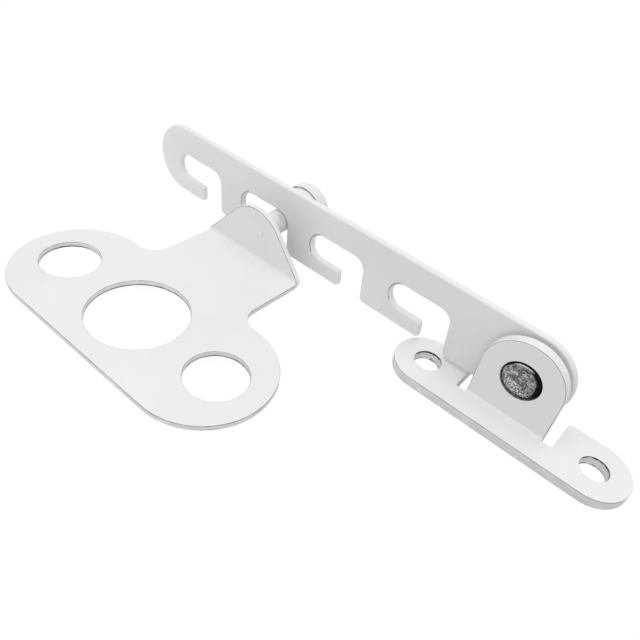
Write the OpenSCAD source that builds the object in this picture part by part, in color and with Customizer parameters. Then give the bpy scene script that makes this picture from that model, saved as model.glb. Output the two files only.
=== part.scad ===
// Comb window restrictor. A slotted arm swings on a bracket that is screwed to the window frame.
// Its slots drop over a pin that stands on a plate on the sash, and each slot holds another gap.
// Lengths are in millimetres. Z is up, X runs along the arm and Y points to the back of the arm.

/* [Frame bracket] */
// Thickness of the bracket's sheet
bracket_t = 2.1; // [1.5:0.1:2.6]
// Distance between the two screw holes
screw_spacing = 35; // [34:0.5:50]
// Diameter of a screw hole
screw_hole_d = 5.4; // [3.5:0.1:7]
// Radius of the rounded ends of the bracket
lobe_r = 6.7; // [6.3:0.1:9]
// Width of the upright ear
ear_w = 16; // [15:0.5:18]
// Radius inside the fold between plate and ear
ear_fold_r = 0.5; // [0.3:0.1:0.9]
// Distance from the line of the screw holes forward to the front of the ear
ear_set = 0.95; // [0.4:0.05:1.6]
// Width of the relief slot on each side of the ear
relief_w = 2.1; // [1.6:0.1:2.8]
// Radius in the bottom corner of a relief slot
relief_r = 0.7; // [0.4:0.1:1.2]
// Radius of the corner where a lobe's back edge meets the relief
lobe_corner_r = 1; // [0.4:0.1:1.4]

/* [Pivot] */
// Height of the pivot over the mounting face
pivot_z = 10.9; // [10.6:0.1:13]
// Diameter of the rivet
rivet_d = 7.7; // [5:0.1:9]
// Gap all round between the rivet and what turns on it
run_gap = 0.05; // [0.03:0.01:0.1]
// Gap beside the arm, to the washer and to the rivet's head
side_gap = 0.05; // [0.03:0.01:0.2]
// How far the staked end of the rivet lies back in the ear
rivet_recess = 0.25; // [0.1:0.05:0.5]
// Width of the chamfer on the staked end
rivet_chamfer = 0.45; // [0.2:0.05:0.8]
// Diameter of the rivet's head behind the arm
rivet_head_d = 12.4; // [11:0.2:15]
// Thickness of that head
rivet_head_t = 1.8; // [1:0.1:2.5]
// Thickness of the washer between ear and arm
washer_t = 1.15; // [0.8:0.05:2]
// Outer diameter of the washer
washer_d = 12.8; // [11:0.2:15]

/* [Arm] */
// Thickness of the arm's sheet
arm_t = 1.5; // [1.2:0.1:2.5]
// Radius of the arm's round end about the pivot
arm_end_r = 8.3; // [7.8:0.1:8.4]
// Height of the tines' lower edge over the mounting face
tine_base_z = 3.35; // [3:0.05:4.5]
// Height of the lower edge between the last slot and the pivot
root_base_z = 2.9; // [2.6:0.1:4]
// Number of slots
slot_count = 4; // [3:1:5]
// Distance from one slot to the next
slot_pitch = 20.95; // [20:0.05:26]
// Distance from the pivot to the wall of the nearest slot
root_len = 16.9; // [16:0.1:24]
// Length of a slot, from its closed end to its wall
slot_len = 13.75; // [12.5:0.25:14.5]
// Height of the lower edge of the slots, where the tines end
slot_floor_z = 7.15; // [6.4:0.05:7.6]
// Room over and under the pin in a slot, taken together
slot_play = 0.5; // [0.4:0.05:1.2]
// Room on both sides of the pin in a slot's mouth, taken together
mouth_play = 0.65; // [0.5:0.05:1]
// Lean of the mouth, which follows the pin's path when the arm lifts
mouth_lean = 5.2; // [4.4:0.1:6]
// Width of the sheet between the last slot and the free end
end_web = 7.1; // [6:0.1:10]
// Radius in the upper corner of a slot
slot_corner_r = 2.7; // [1:0.1:3.2]
// Radius on the corners of a tine's tip
tip_r = 0.8; // [0.5:0.1:1.5]
// Radius on the lower corner of a slot's wall
wall_r = 1.3; // [0.5:0.1:2]

/* [Sash plate] */
// Thickness of the sash plate's sheet
sash_t = 1.2; // [1:0.1:2]
// Length of the sash plate over its lobes
sash_len = 63.6; // [61:0.5:80]
// Width of the lobes, across the plate
sash_w = 27.2; // [25:0.2:32]
// Distance between the two small holes
sash_hole_spacing = 43; // [40:0.5:48]
// Diameter of the small holes
sash_hole_d = 12; // [8:0.2:13]
// Diameter of the middle hole
centre_hole_d = 19.7; // [16:0.2:21]
// Width of the neck that leads to the flange
neck_w = 26.3; // [24:0.1:26.6]
// Radius in the corner between neck and lobe
neck_fillet_r = 4; // [2:0.2:4.6]
// Distance from the line of the holes back to the front of the flange
flange_set = 30.3; // [28:0.1:36]
// Radius inside the fold between plate and flange
sash_fold_r = 1; // [0.6:0.1:1.4]
// Height of the flange's round top over the plate's mounting face
flange_h = 12.8; // [12:0.1:15]
// Radius of the flange's round top
flange_top_r = 8; // [6:0.1:9]

/* [Latch pin] */
// Diameter of the pin
pin_d = 5.2; // [4.6:0.1:5.6]
// Height of the pin over the plate's mounting face
pin_h = 7.2; // [6.6:0.1:8]
// Length of the free shank, from the flange to the knob
pin_len = 14; // [11:0.1:20]
// Distance along the shank from the flange to the arm
flange_gap = 5.7; // [4:0.1:8]
// How far the pin lies over the floor of the slot
pin_lift = 0.25; // [0.05:0.05:0.35]
// Slot that the pin lies in, counted from the pivot
pin_slot_count = 3; // [2:1:3]
// Diameter of the knob
knob_d = 11.2; // [8:0.1:13]
// Thickness of the knob
knob_t = 3.3; // [2:0.1:5]
// Radius on the knob's outer edge
knob_edge_r = 0.9; // [0.3:0.1:1]
// How much smaller than the knob the collar in front of it is, across
collar_step = 1; // [0.7:0.1:2]
// Thickness of that collar
collar_t = 1.4; // [0.5:0.1:3]
// Diameter of the pin's tail inside the flange
tail_d = 4; // [3:0.1:4.2]
// Diameter of the riveted end on the front of the flange
tail_head_d = 5; // [4.6:0.1:6]
// Height of the riveted end over the flange
tail_proud = 0.15; // [0.05:0.05:0.4]

/* [Hidden] */
$fn = 96;
// Reach of cuts past the faces that they go through
past = 1;
// How far a rounding's circle reaches past its edges, so that it crosses them and doesn't only touch
bite = 0.003;
// Gap between the riveted tail and its hole
tail_gap = 0.02;
ear_y = -ear_set;
ear_back = ear_y + bracket_t;
fold_y = ear_y - ear_fold_r;
lobe_in = ear_w / 2 + relief_w;
rivet_r = rivet_d / 2;
arm_y = ear_back + washer_t + side_gap;
arm_back = arm_y + arm_t;
arm_top = pivot_z + arm_end_r;
end_r = (arm_top - tine_base_z) / 2;
slot_h = pin_d + slot_play;
slot_top = slot_floor_z + slot_h;
slot_mid = slot_floor_z + slot_h / 2;
mouth_w = pin_d + mouth_play;
arm_len = root_len + (slot_count - 1) * slot_pitch + slot_len + end_web;
lobe_x = (sash_len - sash_w) / 2;
sash_fold_y = flange_set - sash_fold_r;
knob_y = flange_set + sash_t + pin_len;
pin_x = wall_x(pin_slot_count, slot_mid) - mouth_w / 2;
pin_z = slot_floor_z + pin_lift + pin_d / 2;
sash_y = arm_y - flange_gap - sash_t - flange_set;
// The sash's face stands this far over the frame's face, so that the pin is at the height of the slots
sash_step = pin_z - pin_h;

function dir(a) = [cos(a), sin(a)];
// Place of slot i's wall at height z, with slots counted from the pivot
function wall_x(i, z) = -root_len - i * slot_pitch + slot_pitch + tan(mouth_lean) * (slot_mid - z);
function tip_x(i, z) = wall_x(i, z) - mouth_w;
// Point where a line from p touches a circle of radius r about c, on the side that turn gives
function touch(p, c, r, turn) =
    c + r * dir(atan2(p[1] - c[1], p[0] - c[0]) + turn * acos(r / norm(p - c)));

// Carries an outline in X and Z to a sheet that reaches from y to y + t.
module upright(y, t) {
    translate([0, y + t, 0])
        rotate([90, 0, 0])
            linear_extrude(t)
                children();
}

// Carries an outline in Y and Z along X, half to each side.
module across(w) {
    rotate([90, 0, 90])
        linear_extrude(w, center = true)
            children();
}

// Turns an outline, drawn with its radius in X and its length in Y, about an axis along Y.
module turned() {
    rotate([-90, 0, 0])
        rotate_extrude()
            children();
}

// The sliver between a sharp corner at p and an arc of radius r. Its edges leave p at angles a and b.
module corner(p, a, b, r) {
    half = (b - a) / 2;
    middle = p + r / sin(half) * dir((a + b) / 2);
    side = r / tan(half);
    difference() {
        polygon([p - 0.2 * dir((a + b) / 2), p + side * dir(a), middle, p + side * dir(b)]);
        translate(middle)
            circle(r + bite);
    }
}

// Section of a folded sheet: the quarter bend that starts at y, and the upright up to height top.
module fold_section(y, t, r, top) {
    intersection() {
        translate([y, t + r])
            difference() {
                circle(r + t);
                circle(r);
            }
        translate([y, 0])
            square([r + t, t + r]);
    }
    translate([y + r, t + r])
        square([t, top - t - r]);
}

module bracket_outline() {
    difference() {
        union() {
            for (s = [-1, 1])
                translate([s * screw_spacing / 2, 0])
                    circle(lobe_r);
            translate([-screw_spacing / 2, -lobe_r])
                square([screw_spacing, 2 * lobe_r]);
        }
        difference() {
            translate([-lobe_in, fold_y])
                square([2 * lobe_in, lobe_r + past - fold_y]);
            corner([lobe_in, fold_y], 90, 180, relief_r);
            corner([-lobe_in, fold_y], 0, 90, relief_r);
        }
        for (s = [-1, 1])
            translate([s * screw_spacing / 2, 0])
                circle(d = screw_hole_d);
        corner([lobe_in, lobe_r], -90, 0, lobe_corner_r);
        corner([-lobe_in, lobe_r], 180, 270, lobe_corner_r);
    }
}

module frame_bracket() {
    color("Gainsboro") {
        linear_extrude(bracket_t)
            bracket_outline();
        intersection() {
            across(ear_w)
                fold_section(fold_y, bracket_t, ear_fold_r, pivot_z + ear_w / 2);
            upright(fold_y - past, lobe_r + 2 * past)
                difference() {
                    union() {
                        translate([0, pivot_z])
                            circle(ear_w / 2);
                        translate([-ear_w / 2, -past])
                            square([ear_w, pivot_z + past]);
                    }
                    translate([0, pivot_z])
                        circle(rivet_r + run_gap);
                }
        }
    }
}

// Empty space of one slot: the closed round end, the run along the arm and the leaning mouth.
module slot_space(i) {
    low = root_base_z - 2 * past;
    base = i == 1 ? root_base_z : tine_base_z;
    end_x = wall_x(i, slot_mid) - slot_len + slot_h / 2;
    up = 90 + mouth_lean;
    down = 270 + mouth_lean;
    translate([end_x, slot_mid])
        circle(slot_h / 2);
    difference() {
        polygon([
            [end_x, slot_top], [wall_x(i, slot_top), slot_top], [wall_x(i, low), low],
            [tip_x(i, low), low], [tip_x(i, slot_floor_z), slot_floor_z], [end_x, slot_floor_z]
        ]);
        corner([wall_x(i, slot_top), slot_top], 180, down, slot_corner_r);
    }
    corner([tip_x(i, slot_floor_z), slot_floor_z], 180, down, tip_r);
    corner([tip_x(i, tine_base_z), tine_base_z], up, 180, tip_r);
    corner([wall_x(i, base), base], 0, up, wall_r);
}

module arm() {
    color("WhiteSmoke")
        upright(arm_y, arm_t)
            difference() {
                union() {
                    translate([0, pivot_z])
                        circle(arm_end_r);
                    translate([end_r - arm_len, tine_base_z + end_r])
                        circle(end_r);
                    translate([end_r - arm_len, tine_base_z])
                        square([arm_len - end_r, arm_top - tine_base_z]);
                    translate([-root_len - tip_r, root_base_z])
                        square([root_len + tip_r, arm_top - root_base_z]);
                }
                translate([0, pivot_z])
                    circle(rivet_r + run_gap);
                for (i = [1 : slot_count])
                    slot_space(i);
            }
}

module pivot_rivet() {
    front = ear_y + rivet_recess;
    head = arm_back + side_gap;
    color("Silver")
        translate([0, 0, pivot_z])
            turned()
                difference() {
                    union() {
                        translate([0, front])
                            square([rivet_r, head - front]);
                        translate([0, head])
                            square([rivet_head_d / 2, rivet_head_t]);
                    }
                    polygon([
                        [rivet_r - rivet_chamfer, front], [rivet_r, front + rivet_chamfer],
                        [rivet_r + past, front + rivet_chamfer], [rivet_r + past, front - past],
                        [rivet_r - rivet_chamfer, front - past]
                    ]);
                    corner([rivet_head_d / 2, head + rivet_head_t], 180, 270, rivet_head_t / 2);
                }
}

module pivot_washer() {
    color("DarkGray")
        translate([0, 0, pivot_z])
            turned()
                translate([rivet_r + run_gap, ear_back])
                    square([washer_d / 2 - rivet_r - run_gap, washer_t]);
}

// Carries what is drawn with the middle hole at the origin to its place on the sash.
module on_sash() {
    translate([pin_x, sash_y, sash_step])
        children();
}

module sash_outline() {
    neck_y = sash_w / 2;
    difference() {
        union() {
            for (s = [-1, 1])
                translate([s * lobe_x, 0])
                    circle(sash_w / 2);
            translate([-lobe_x, -sash_w / 2])
                square([2 * lobe_x, sash_w]);
            translate([-neck_w / 2, 0])
                square([neck_w, sash_fold_y]);
            corner([neck_w / 2, neck_y], 0, 90, neck_fillet_r);
            corner([-neck_w / 2, neck_y], 90, 180, neck_fillet_r);
        }
        circle(d = centre_hole_d);
        for (s = [-1, 1])
            translate([s * sash_hole_spacing / 2, 0])
                circle(d = sash_hole_d);
    }
}

module flange_outline() {
    middle = [0, flange_h - flange_top_r];
    base = [neck_w / 2, sash_t + sash_fold_r / 2];
    side = touch(base, middle, flange_top_r - bite, 1);
    translate(middle)
        circle(flange_top_r);
    polygon([[-base[0], base[1]], base, side, middle, [-side[0], side[1]]]);
    translate([-base[0], -past])
        square([neck_w, base[1] + past]);
}

module sash_plate() {
    color("Gainsboro")
        on_sash() {
            linear_extrude(sash_t)
                sash_outline();
            difference() {
                intersection() {
                    across(neck_w)
                        fold_section(sash_fold_y, sash_t, sash_fold_r, flange_h);
                    upright(sash_fold_y - past, sash_fold_r + sash_t + 2 * past)
                        flange_outline();
                }
                translate([0, 0, pin_h])
                    turned()
                        tail_section(tail_gap);
            }
        }
}

// Half section of the pin's tail in the flange, grown by a gap all round.
module tail_section(gap) {
    flare = (tail_head_d - tail_d) / 2;
    back = flange_set + sash_t;
    polygon([
        [0, flange_set - tail_proud], [tail_head_d / 2 + gap, flange_set - tail_proud],
        [tail_head_d / 2 + gap, flange_set], [tail_d / 2 + gap, flange_set + flare],
        [tail_d / 2 + gap, back], [0, back]
    ]);
}

module latch_pin() {
    back = flange_set + sash_t;
    color("WhiteSmoke")
        on_sash()
            translate([0, 0, pin_h])
                turned()
                    difference() {
                        union() {
                            tail_section(0);
                            translate([0, back])
                                square([pin_d / 2, knob_y - back]);
                            translate([0, knob_y - collar_t])
                                square([knob_d / 2 - collar_step / 2, collar_t]);
                            translate([0, knob_y])
                                square([knob_d / 2, knob_t]);
                        }
                        corner([knob_d / 2, knob_y + knob_t], 180, 270, knob_edge_r);
                        corner([knob_d / 2, knob_y], 90, 180, knob_edge_r / 3);
                    }
}

frame_bracket();
arm();
pivot_rivet();
pivot_washer();
sash_plate();
latch_pin();
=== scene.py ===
import math

import bmesh
import bpy
from mathutils import Matrix, Vector


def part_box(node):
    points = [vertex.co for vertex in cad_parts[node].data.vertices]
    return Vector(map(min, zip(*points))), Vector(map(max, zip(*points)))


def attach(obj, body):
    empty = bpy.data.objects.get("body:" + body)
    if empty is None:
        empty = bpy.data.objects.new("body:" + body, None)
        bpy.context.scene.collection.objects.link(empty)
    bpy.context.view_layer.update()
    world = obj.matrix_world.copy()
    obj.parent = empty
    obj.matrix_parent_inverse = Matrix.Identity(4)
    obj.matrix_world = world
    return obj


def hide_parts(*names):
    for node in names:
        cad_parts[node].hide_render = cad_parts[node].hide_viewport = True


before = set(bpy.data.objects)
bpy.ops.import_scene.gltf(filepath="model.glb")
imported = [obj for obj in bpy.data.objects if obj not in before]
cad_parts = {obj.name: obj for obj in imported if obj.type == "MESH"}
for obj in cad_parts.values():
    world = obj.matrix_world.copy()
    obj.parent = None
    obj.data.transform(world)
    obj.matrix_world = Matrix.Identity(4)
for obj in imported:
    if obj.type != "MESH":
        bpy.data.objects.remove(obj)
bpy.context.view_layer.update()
scene = bpy.context.scene
scene.view_settings.view_transform = "Standard"

# ---------------------------------------------------------------- sizes
# All in mm in the row frame, unless a name says otherwise. Blender gets metres.

MM = 0.001
BRACKET_TOP = 2.1  # top of the bracket's flat part, which lies on z 0
SCREWS = [(-17.5, 0.0), (17.5, 0.0)]
SCREW_R = 2.7
EAR_BACK = 2.1
PIVOT_Z = 10.9
PIVOT_HOLE_R = 3.9
RIVET_R = 3.85
SASH_BACK, SASH_TOP = 2.8, 4.0
SASH_SCREW_PITCH = 21.5
SASH_SCREW_R, SASH_BORE_R = 6.0, 9.85
SASH_FRONT_TO_HOLES = 13.6
OUTER_SLOT_X = -80.0  # the outermost slot lies beyond it
SLOT_FOOT, SLOT_ROOF = 7.8, 14.0
PIVOT_END_X = 10.0  # the arm's round end reaches so far from the pivot
KNOB_LENGTH = 3.3
COLLAR_LENGTH = 1.4
COLLAR_STEP = 0.5  # the collar is so much smaller than the knob

plate_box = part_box("sash_plate")
pin_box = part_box("latch_pin")
rivet_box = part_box("pivot_rivet")
PIN_X = 0.5 * (pin_box[0][0] + pin_box[1][0]) / MM
PIN_Z = 0.5 * (pin_box[0][2] + pin_box[1][2]) / MM
SASH_Y = plate_box[0][1] / MM + SASH_FRONT_TO_HOLES
SASH_HOLES = [
    (PIN_X - SASH_SCREW_PITCH, SASH_Y, SASH_SCREW_R),
    (PIN_X, SASH_Y, SASH_BORE_R),
    (PIN_X + SASH_SCREW_PITCH, SASH_Y, SASH_SCREW_R),
]


# ---------------------------------------------------------------- nodes

def grey(value):
    return (value, value, value)


def in_metres(values):
    return tuple(v * MM for v in values)


class Graph:
    """Short ways to add nodes to a node tree. Positions in it are in metres."""

    def __init__(self, tree):
        self.nodes = tree.nodes
        self.links = tree.links

    def wire(self, node, inputs):
        """Links or sets a node's inputs, by name or number."""
        for key, value in inputs.items():
            if isinstance(value, bpy.types.NodeSocket):
                self.links.new(value, node.inputs[key])
            else:
                node.inputs[key].default_value = value

    def add(self, kind, inputs, **settings):
        node = self.nodes.new("ShaderNode" + kind)
        for key, value in settings.items():
            setattr(node, key, value)
        self.wire(node, inputs)
        return node

    def place(self):
        """Position in the row frame."""
        return self.add("TexCoord", {}).outputs["Object"]

    def axes(self):
        """Position in the row frame as X, Y and Z."""
        return self.add("SeparateXYZ", {"Vector": self.place()}).outputs

    def maths(self, operation, *values):
        """One operation on sockets and numbers."""
        return self.add("Math", dict(enumerate(values)), operation=operation).outputs["Value"]

    def noise(self, scale, detail=2.0, rough=0.5, place=None):
        return self.add("TexNoise", {
            "Scale": scale, "Detail": detail, "Roughness": rough,
            "Vector": self.place() if place is None else place,
        }).outputs["Fac"]

    def spread(self, value, low, high, start=0.0, end=1.0):
        """Maps start..end to low..high, and stays there outside."""
        return self.add("MapRange", {
            "Value": value, "From Min": start, "From Max": end, "To Min": low, "To Max": high,
        }).outputs["Result"]

    def band(self, value, low, high, soft):
        """1 between two values and 0 outside, with soft borders."""
        rise = self.spread(value, 0.0, 1.0, low - soft, low)
        fall = self.spread(value, 1.0, 0.0, high, high + soft)
        return self.maths("MULTIPLY", rise, fall)

    def ramp(self, value, stops):
        """A colour from a value, by stops of (value, colour)."""
        node = self.add("ValToRGB", {"Fac": value})
        marks = node.color_ramp.elements
        while len(marks) < len(stops):
            marks.new(0.5)
        for mark, (at, colour) in zip(marks, stops):
            mark.position = at
            mark.color = (*colour, 1.0)
        return node.outputs["Color"]

    def paint(self, under, factor, colour):
        """One plain colour over another, by a factor."""
        inputs = {"Factor": factor, "A": under, "B": (*colour, 1.0)}
        return self.add("Mix", inputs, data_type="RGBA").outputs["Result"]

    def relief(self, height, strength, depth):
        """The normal of a fine relief. depth in mm."""
        inputs = {"Strength": strength, "Distance": depth * MM, "Height": height}
        return self.add("Bump", inputs).outputs["Normal"]

    def seen(self):
        """1 for rays that show the background: the camera's, and those in metal and glass."""
        path = self.add("LightPath", {}).outputs
        either = self.maths("MAXIMUM", path["Is Camera Ray"], path["Is Glossy Ray"])
        return self.maths("MAXIMUM", either, path["Is Transmission Ray"])

    def mix_shader(self, factor, first, second):
        return self.add("MixShader", {"Fac": factor, 1: first, 2: second}).outputs["Shader"]


def material(name):
    """A new material with its graph and its shader."""
    new = bpy.data.materials.new(name)
    new.use_nodes = True
    return new, Graph(new.node_tree), new.node_tree.nodes["Principled BSDF"]


# ---------------------------------------------------------------- looks

COAT_GREY = 0.80
PAINTED_SHADE_GREY = 0.22
COAT_PEEL = 0.10  # strength of the orange peel
WALL_DRIFT = 1.3  # coarse noise against fine noise, in the walls of holes


def powder_coat(name, marks=()):
    """White powder coat: a faint mottle, an orange-peel surface and a satin gloss.

    marks: spots of painted shade as (place, size, strength), in mm.
    """
    new, graph, shader = material(name)
    mottle = graph.noise(55.0, 3.0, 0.55)
    colour = graph.ramp(mottle, [(0.30, grey(0.965 * COAT_GREY)), (0.70, grey(1.02 * COAT_GREY))])
    # Each mark is painted shade: a soft dark spot that fades out from its place.
    for place, size, strength in marks:
        spot = graph.add("Mapping", {
            "Location": in_metres(place), "Scale": in_metres(size), "Vector": graph.place(),
        }, vector_type="TEXTURE")
        away = graph.add("VectorMath", {0: spot.outputs["Vector"]}, operation="LENGTH")
        fade = graph.spread(away.outputs["Value"], strength, 0.0)
        colour = graph.paint(colour, fade, grey(PAINTED_SHADE_GREY))
    graph.wire(shader, {
        "Base Color": colour,
        "Roughness": graph.spread(graph.noise(420.0), 0.36, 0.50),
        "Normal": graph.relief(graph.noise(900.0, 1.5, 0.4), COAT_PEEL, 0.08),
        "Specular IOR Level": 0.45,
    })
    return new


def thin_coat_and_painted_shade(name, dark, light, scale=260.0, streak=1.0):
    """Coat that is thin or missing, so that dark steel shows in patches. The same patchy dark
    colour also paints shade on the pivot hole, on the knob's step and on the side faces.

    streak: above 1 it draws the patches out along the sheet.
    """
    new, graph, shader = material(name)
    drawn = graph.add("Mapping", {"Scale": (1.0, 1.0, streak), "Vector": graph.place()})
    patch = graph.noise(scale, 3.0, 0.6, drawn.outputs["Vector"])
    graph.wire(shader, {
        "Base Color": graph.ramp(patch, [(0.34, dark), (0.66, light)]),
        "Roughness": graph.spread(patch, 0.62, 0.42),
        "Normal": graph.relief(graph.noise(1500.0), 0.12, 0.06),
    })
    return new


def hole_wall(name, low, high, stops, patchy):
    """Wall of a punched hole between two heights: coat that goes dark at the rims, where the
    stops set it, with painted shade at the bottom rim and bare dark metal at the top rim.

    stops: colours over the height from 0 to 1. patchy: how far noise moves them.
    """
    new, graph, shader = material(name)
    level = graph.spread(graph.axes()["Z"], 0.0, 1.0, low * MM, high * MM)
    wander = graph.noise(900.0, 3.0, 0.6)
    drift = graph.noise(260.0, 1.0)
    level = graph.maths("MULTIPLY_ADD", wander, patchy, level)
    level = graph.maths("MULTIPLY_ADD", drift, WALL_DRIFT * patchy, level)
    level = graph.maths("SUBTRACT", level, 0.5 * (1.0 + WALL_DRIFT) * patchy)
    graph.wire(shader, {
        "Base Color": graph.ramp(level, stops),
        "Roughness": graph.spread(wander, 0.65, 0.4),
        "Normal": graph.relief(wander, 0.4, 0.08),
    })
    return new


def stake_flecks_and_painted_light(graph, stain, cloud):
    """Painted shade in a ring at a staked end's edge, a painted highlight beside it and bright
    flecks, as factors with their colours.

    Lengths are in radii of the rivet, from its axis.
    """
    axes = graph.axes()
    x = graph.maths("DIVIDE", axes["X"], RIVET_R * MM)
    rise = graph.maths("SUBTRACT", axes["Z"], PIVOT_Z * MM)
    z = graph.maths("DIVIDE", rise, RIVET_R * MM)

    def reach(x0, z0):
        """Distance from a point."""
        dx = graph.maths("SUBTRACT", x, x0)
        dz = graph.maths("SUBTRACT", z, z0)
        square = graph.maths("MULTIPLY_ADD", dx, dx, graph.maths("MULTIPLY", dz, dz))
        return graph.maths("POWER", square, 0.5)

    # Painted shade in a ring where the end meets the hole, widest at the upper right.
    wander = graph.maths("MULTIPLY_ADD", cloud, 0.30, -0.15)
    edge = graph.maths("ADD", reach(-0.15, -0.13), wander)
    shade_ring = graph.spread(edge, 0.0, 1.0, 0.84, 0.90)
    # A broken painted highlight beside it at the top, where the chamfer catches the light.
    top = graph.spread(graph.maths("MULTIPLY_ADD", x, -0.1, z), 0.0, 1.0, 0.66, 0.76)
    ring = graph.maths("MULTIPLY_ADD", cloud, 0.06, reach(-0.04, -0.02))
    arc = graph.maths("MULTIPLY", graph.band(ring, 0.82, 0.88, 0.03), top)
    streak = graph.maths("MULTIPLY", arc, graph.band(stain, 0.46, 1.0, 0.10))
    # Bright flecks in the lower half.
    low = graph.spread(graph.maths("MULTIPLY_ADD", x, 0.3, z), 0.0, 1.0, -0.25, -0.60)
    spots = graph.maths("MULTIPLY", graph.band(stain, 0.55, 1.0, 0.05), low)
    flecks = graph.maths("MULTIPLY", spots, 0.8)
    return (shade_ring, grey(0.008)), (streak, (0.62, 0.61, 0.60)), (flecks, (0.85, 0.84, 0.82))


def bare_steel(name, dark, light, staked=False):
    """Bare steel, hammered and stained. A staked end also gets a ring of painted shade, a painted
    highlight and bright flecks.
    """
    new, graph, shader = material(name)
    pits = graph.add("TexVoronoi", {"Scale": 2600.0, "Vector": graph.place()})
    stain = graph.noise(3000.0, 4.0, 0.7)
    cloud = graph.noise(1000.0, 2.0, 0.6)
    grain = graph.maths("MULTIPLY_ADD", pits.outputs["Distance"], 0.35, stain)
    tone = graph.maths("MULTIPLY", graph.maths("MULTIPLY_ADD", cloud, 1.1, grain), 0.5)
    colour = graph.ramp(tone, [(0.42, dark), (0.56, (0.13, 0.129, 0.128)), (0.78, light)])
    if staked:
        for factor, paint in stake_flecks_and_painted_light(graph, stain, cloud):
            colour = graph.paint(colour, factor, paint)
    graph.wire(shader, {
        "Metallic": 1.0,
        "Base Color": colour,
        "Roughness": graph.spread(stain, 0.66, 0.30),
        "Normal": graph.relief(grain, 0.7, 0.12),
    })
    return new


def white_floor(name):
    """White to the camera, with a trace of the object's shadow left in.

    The light that it throws back at the object falls off towards the right.
    """
    new, graph, shader = material(name)
    across = graph.spread(graph.axes()["X"], 0.0, 1.0, -75.0 * MM, 45.0 * MM)
    graph.wire(shader, {
        "Base Color": graph.ramp(across, [(0.0, grey(0.93)), (1.0, grey(0.50))]),
        "Roughness": 0.9,
    })
    glow = graph.add("Emission", {"Strength": 1.03}).outputs["Emission"]
    part = graph.maths("MULTIPLY", graph.seen(), 0.94)
    graph.wire(graph.nodes["Material Output"], {
        "Surface": graph.mix_shader(part, shader.outputs["BSDF"], glow),
    })
    return new


plate_coat = powder_coat("powder_coat_plate")
arm_coat = powder_coat("powder_coat_arm")
# The pin's two marks are painted shade: one on the shank just in front of the arm, where it meets
# the slot, and one on the right rim of its painted-over end.
pin_coat = powder_coat("powder_coat_pin", [
    ((PIN_X + 1.2, 1.55, PIN_Z + 0.8), (1.3, 0.8, 2.6), 0.85),
    ((PIN_X + 2.35, pin_box[0][1] / MM, PIN_Z + 0.6), (0.28, 0.8, 0.8), 0.30),
])
edge_line = thin_coat_and_painted_shade("thin_coat_on_edges", grey(0.13), grey(0.46))
rim_line = thin_coat_and_painted_shade("thin_coat_on_rims", grey(0.16), (0.50, 0.50, 0.495))
flange_line = thin_coat_and_painted_shade("thin_coat_on_flange", grey(0.16), grey(0.50))
# A dark line of painted shade on the narrow step between the pin's collar and its knob.
knob_step_shade = thin_coat_and_painted_shade("knob_step_painted_shade", grey(0.26), grey(0.55))
# The side faces of the flat parts get a darker grey: painted shade, because the low faces near
# the floor are darker.
cut_face_shade = thin_coat_and_painted_shade("cut_faces_painted_shade", (0.63, 0.63, 0.625), (0.79, 0.79, 0.785), 300.0, 9.0)
# The rim and wall of the ear's pivot hole are painted near-black: painted shade in the deep gap
# round the rivet.
pivot_rim_shade = thin_coat_and_painted_shade("pivot_hole_rim_painted_shade", grey(0.010), grey(0.035), 1200.0)
pivot_wall_shade = thin_coat_and_painted_shade("pivot_hole_wall_painted_shade", grey(0.008), (0.30, 0.30, 0.295), 2200.0)
# Dark at the bottom: painted shade where the wall meets the floor. Dark at the top: bare metal.
screw_wall = hole_wall("bracket_hole_wall", 0.0, BRACKET_TOP, [
    (0.04, grey(0.02)), (0.10, grey(0.45)), (0.16, grey(0.84)), (0.34, grey(0.78)),
    (0.46, grey(0.86)), (0.60, grey(0.76)), (0.74, grey(0.82)), (0.80, grey(0.02)),
], 0.6)
# Dark at the bottom: painted shade along the plate's underside.
sash_wall = hole_wall("sash_hole_wall", SASH_BACK, SASH_TOP, [
    (0.06, grey(0.03)), (0.24, (0.40, 0.40, 0.395)), (0.40, (0.78, 0.78, 0.775)),
    (0.90, (0.82, 0.82, 0.81)),
], 0.3)
# The rivet's staked end carries a ring of painted shade and a painted highlight.
steel = bare_steel("staked_rivet_steel", (0.03, 0.029, 0.028), (0.60, 0.59, 0.58), True)
washer_steel = bare_steel("washer_steel", (0.20, 0.197, 0.194), (0.50, 0.49, 0.48))


# ---------------------------------------------------------------- pieces

MERGE = 0.03  # points of the CAD mesh that lie closer than this become one
FLAT_DEGREES = 0.4  # faces that meet at less than this become one
CREASE_DEGREES = 28.0  # edges sharper than this are rounded
SHARP_DEGREES = 40.0  # edges sharper than this stay sharp in the shading
RIM_SHARE = 0.4  # rims of holes are rounded by this share of the radius


def creases(bm, degrees):
    """The edges at which two faces meet at more than an angle."""
    limit = math.radians(degrees)
    return [e for e in bm.edges if len(e.link_faces) == 2 and e.calc_face_angle(0.0) > limit]


def shade(bm):
    """Smooth shading, apart from the sharp edges."""
    for face in bm.faces:
        face.smooth = True
    sharp = set(creases(bm, SHARP_DEGREES))
    for edge in bm.edges:
        edge.smooth = edge not in sharp


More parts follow.
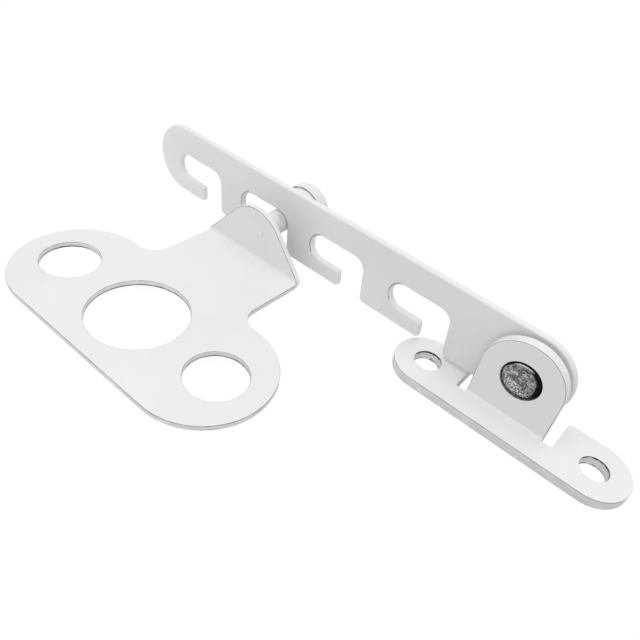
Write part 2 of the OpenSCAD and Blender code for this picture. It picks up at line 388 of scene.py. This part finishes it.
def dress(node, body, slot, mats, radius, rings, choose=None, rim=None):
    """A copy of a CAD node with edges rounded to a radius, standing for that node.

    choose: the number of a face's material, from its middle, its normal and whether it
    lies on a rounded edge. rim: whether an edge, by its middle, gets the finer rounding.
    """
    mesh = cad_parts[node].data.copy()
    obj = bpy.data.objects.new(node + "_coated" if slot == "coat" else node + "_finished", mesh)
    scene.collection.objects.link(obj)
    bm = bmesh.new()
    bm.from_mesh(mesh)
    bmesh.ops.remove_doubles(bm, verts=bm.verts, dist=MERGE * MM)
    bmesh.ops.dissolve_limit(
        bm, angle_limit=math.radians(FLAT_DEGREES), verts=bm.verts, edges=bm.edges,
    )
    bm.normal_update()
    edges = creases(bm, CREASE_DEGREES)
    fine = [e for e in edges if rim and rim((e.verts[0].co + e.verts[1].co) / (2 * MM))]
    plain = [e for e in edges if e not in fine]
    rounded = set()
    for group, width in ((fine, RIM_SHARE * radius), (plain, radius)):
        if group:
            made = bmesh.ops.bevel(
                bm, geom=group, offset=width * MM, offset_type="OFFSET", segments=rings,
                profile=0.5, affect="EDGES", clamp_overlap=False, miter_outer="ARC",
            )
            rounded.update(made["faces"])
    bm.normal_update()
    for face in bm.faces:
        middle = face.calc_center_median() / MM
        face.material_index = choose(middle, face.normal, face in rounded) if choose else 0
    shade(bm)
    # The materials come before to_mesh, because clearing them resets the faces' numbers.
    mesh.materials.clear()
    for mat in mats:
        mesh.materials.append(mat)
    bm.to_mesh(mesh)
    bm.free()
    weights = obj.modifiers.new("flat_faces", "WEIGHTED_NORMAL")
    weights.keep_sharp = True
    weights.weight = 60
    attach(obj, body)
    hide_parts(node)


def lathe(name, profile, at, mats, second, steps=128):
    """Turns a profile of (radius, y) points about an axis along Y through at = (x, z).

    second: whether a face has the second material, from the y of its middle.
    """
    bm = bmesh.new()
    rows = []
    for r, y in profile:
        turns = [k * math.tau / steps for k in range(steps)] if r > 0.0 else [0.0]
        rows.append([
            bm.verts.new(in_metres((at[0] + r * math.cos(t), y, at[1] + r * math.sin(t))))
            for t in turns
        ])
    for one, two in zip(rows, rows[1:]):
        for k in range(steps):
            n = (k + 1) % steps
            ring = [one[k % len(one)], one[n % len(one)], two[n % len(two)], two[k % len(two)]]
            bm.faces.new(list(dict.fromkeys(ring)))
    bmesh.ops.recalc_face_normals(bm, faces=bm.faces)
    shade(bm)
    mesh = bpy.data.meshes.new(name)
    bm.to_mesh(mesh)
    bm.free()
    for mat in mats:
        mesh.materials.append(mat)
    for face in mesh.polygons:
        face.material_index = int(second(face.center.y / MM))
    obj = bpy.data.objects.new(name, mesh)
    scene.collection.objects.link(obj)
    return obj


def fillet(r, y, radius, start, end, steps):
    """Points of an arc of the profile about (r, y), between two angles in degrees."""
    turns = [math.radians(start + (end - start) * k / steps) for k in range(steps + 1)]
    return [(r + radius * math.cos(t), y + radius * math.sin(t)) for t in turns]


# Places in the lists of materials.
COAT, LINE, CUT_SHADE, WALL, RIM, PIVOT_RIM_SHADE, PIVOT = range(7)


def arm_faces(c, n, rounded):
    """The coat is thin on the front edge of the slots' round ends, but not in the outermost."""
    inner = c.x > OUTER_SLOT_X and SLOT_FOOT < c.z < SLOT_ROOF and abs(c.x) > PIVOT_END_X
    return LINE if rounded and inner and n.y < -0.90 and n.x > 0.06 else COAT


def sheet_faces(c, n, rounded, top):
    """Look of a folded sheet: its flat part reaches up to top, the rest stands up."""
    if c.z < top + 0.1:
        if rounded:
            return LINE if abs(n.z) < 0.5 else COAT
        # Side faces of the flat part take the darker grey of painted shade.
        return CUT_SHADE if abs(n.z) < 0.2 else COAT
    return LINE if rounded and n.y < -0.6 else COAT


def hole_faces(n, rounded):
    """Look of a punched hole's rim and wall, or nothing for the flat faces beside it."""
    if rounded and n.z > 0.3:
        return RIM
    return WALL if abs(n.z) < 0.8 else None


def in_screw_hole(c):
    near = SCREW_R + 0.15
    return c.z < BRACKET_TOP + 0.4 and any(math.hypot(c.x - x, c.y - y) < near for x, y in SCREWS)


def in_pivot_hole(c):
    return c.y < EAR_BACK + 0.2 and math.hypot(c.x, c.z - PIVOT_Z) < PIVOT_HOLE_R + 0.35


def in_sash_hole(c):
    return c.z < SASH_TOP + 0.5 and any(
        math.hypot(c.x - x, c.y - y) < r + 0.15 for x, y, r in SASH_HOLES
    )


def bracket_faces(c, n, rounded):
    look = hole_faces(n, rounded) if in_screw_hole(c) else None
    # The pivot hole's rim and wall take painted shade.
    if look is None and in_pivot_hole(c) and abs(n.y) < 0.97:
        look = PIVOT_RIM_SHADE if rounded else PIVOT
    return sheet_faces(c, n, rounded, BRACKET_TOP) if look is None else look


def sash_faces(c, n, rounded):
    look = hole_faces(n, rounded) if in_sash_hole(c) else None
    return sheet_faces(c, n, rounded, SASH_TOP) if look is None else look


dress(
    "frame_bracket", "bracket", "coat",
    [plate_coat, edge_line, cut_face_shade, screw_wall, rim_line, pivot_rim_shade, pivot_wall_shade], 0.14, 2,
    choose=bracket_faces, rim=lambda c: in_screw_hole(c) or in_pivot_hole(c),
)
dress("arm", "swing_arm", "coat", [arm_coat, edge_line], 0.5, 4, choose=arm_faces)
dress(
    "sash_plate", "bracket", "coat",
    [plate_coat, flange_line, cut_face_shade, sash_wall, rim_line], 0.19, 2,
    choose=sash_faces, rim=in_sash_hole,
)

# The rivet: its spread end nearly fills the hole in the ear, its round head lies behind the arm.
end = rivet_box[0][1] / MM
head = rivet_box[1][1] / MM
head_r = 0.5 * (rivet_box[1][0] - rivet_box[0][0]) / MM
rivet = lathe(
    "pivot_rivet_finished",
    [(0.0, end + 0.03), (2.2, end + 0.01), (3.2, end), (3.6, end + 0.05), (3.78, end + 0.16),
     (3.84, end + 0.35), (3.84, head - 1.8)]
    + fillet(head_r - 0.1, head - 1.7, 0.1, 270, 360, 3)
    + fillet(head_r - 0.9, head - 0.9, 0.9, 0, 90, 10)
    + [(0.0, head)],
    (0.0, PIVOT_Z), [steel, washer_steel], lambda y: y > 3.0,
)
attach(rivet, "bracket")
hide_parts("pivot_rivet")
dress("pivot_washer", "bracket", "steel", [washer_steel], 0.08, 2)

# The pin: a soft painted-over end on the flange, the shank, the collar and the knob.
front = pin_box[0][1] / MM
back = pin_box[1][1] / MM
knob_r = 0.5 * (pin_box[1][0] - pin_box[0][0]) / MM
knob = back - KNOB_LENGTH
collar = knob - COLLAR_LENGTH
collar_r = knob_r - COLLAR_STEP
pin = lathe(
    "latch_pin_coated",
    [(0.0, front), (1.7, front + 0.004), (2.1, front + 0.018), (2.4, front + 0.05),
     (2.65, front + 0.095), (2.9, front + 0.13), (3.2, front + 0.149), (3.2, front + 0.2),
     (2.0, front + 0.3), (2.0, front + 1.35), (2.6, front + 1.35),
     (2.6, collar - 0.05), (2.65, collar)]
    + fillet(collar_r - 0.25, collar + 0.25, 0.25, 270, 360, 4)
    + [(collar_r, knob)]
    + fillet(knob_r - 0.3, knob + 0.3, 0.3, 270, 360, 5)
    + fillet(knob_r - 0.9, back - 0.9, 0.9, 0, 90, 8)
    + [(0.0, back)],
    # The step face in front of the knob takes the painted shade line.
    (PIN_X, PIN_Z), [pin_coat, knob_step_shade], lambda y: knob - 0.02 < y < knob + 0.08,
)
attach(pin, "bracket")
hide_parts("latch_pin")

# ---------------------------------------------------------------- floor, light, camera

SIDE = 3.0  # metres
BELOW = 0.02  # the floor lies so far under the object, so that the two faces stay apart
floor_mesh = bpy.data.meshes.new("floor")
corners = [(-SIDE, -SIDE, 0), (SIDE, -SIDE, 0), (SIDE, SIDE, 0), (-SIDE, SIDE, 0)]
floor_mesh.from_pydata(corners, [], [(0, 1, 2, 3)])
floor = bpy.data.objects.new("floor", floor_mesh)
floor.location = (0, 0, -BELOW * MM)
floor_mesh.materials.append(white_floor("floor_white"))
scene.collection.objects.link(floor)

world = bpy.data.worlds.new("studio")
scene.world = world
world.use_nodes = True
studio = Graph(world.node_tree)
sky = studio.nodes["Background"]
studio.wire(sky, {"Color": (*grey(1.0), 1.0), "Strength": 0.59})
shown = studio.add("Background", {"Color": (*grey(1.0), 1.0), "Strength": 1.0})
studio.wire(studio.nodes["World Output"], {
    "Surface": studio.mix_shader(
        studio.seen(), sky.outputs["Background"], shown.outputs["Background"],
    ),
})


def lamp(name, at, to, size, power):
    """A round soft lamp, out of the camera's sight. Places and size in metres, power in watts."""
    data = bpy.data.lights.new(name, "AREA")
    data.shape = "DISK"
    data.size = size
    data.energy = power
    obj = bpy.data.objects.new(name, data)
    obj.location = at
    obj.rotation_mode = "QUATERNION"
    obj.rotation_quaternion = (Vector(to) - Vector(at)).to_track_quat("-Z", "Y")
    obj.visible_camera = False
    scene.collection.objects.link(obj)


middle = (-0.045, -0.015, 0.0)
lamp("soft_top", (-0.03, -0.10, 0.75), middle, 0.9, 3.0)
lamp("soft_front", (0.05, -0.75, 0.45), middle, 0.6, 0.6)
lamp("soft_back", (-0.05, 0.65, 0.45), middle, 0.6, 0.45)

# The photograph's camera: a close view from the right front, rolled so that the arm falls
# to the right.
AZIMUTH, ELEVATION, ROLL = (math.radians(a) for a in (32.867, 40.273, 11.477))
EYE = Vector((14.043, -89.766, 85.068)) * MM
FOCAL = 633.85  # pixels
PICTURE = 640.0  # pixels
SENSOR = 36.0  # mm on the sensor
right = Vector((math.cos(AZIMUTH), math.sin(AZIMUTH), 0))
ahead = Vector((
    -math.sin(AZIMUTH) * math.cos(ELEVATION),
    math.cos(AZIMUTH) * math.cos(ELEVATION),
    -math.sin(ELEVATION),
))
down = ahead.cross(right)
x_axis = math.cos(ROLL) * right - math.sin(ROLL) * down
y_axis = -(math.sin(ROLL) * right + math.cos(ROLL) * down)
turn = Matrix((x_axis, y_axis, -ahead)).transposed().to_4x4()
cam_data = bpy.data.cameras.new("camera")
cam_data.sensor_fit = "HORIZONTAL"
cam_data.sensor_width = SENSOR
cam_data.lens = SENSOR * FOCAL / PICTURE
cam_data.clip_start = 0.005
cam_data.clip_end = 20.0
camera = bpy.data.objects.new("camera", cam_data)
camera.matrix_world = Matrix.Translation(EYE) @ turn
# Framing, by less than half a pixel.
cam_data.shift_x = -0.00055
cam_data.shift_y = 0.0007
scene.collection.objects.link(camera)
scene.camera = camera
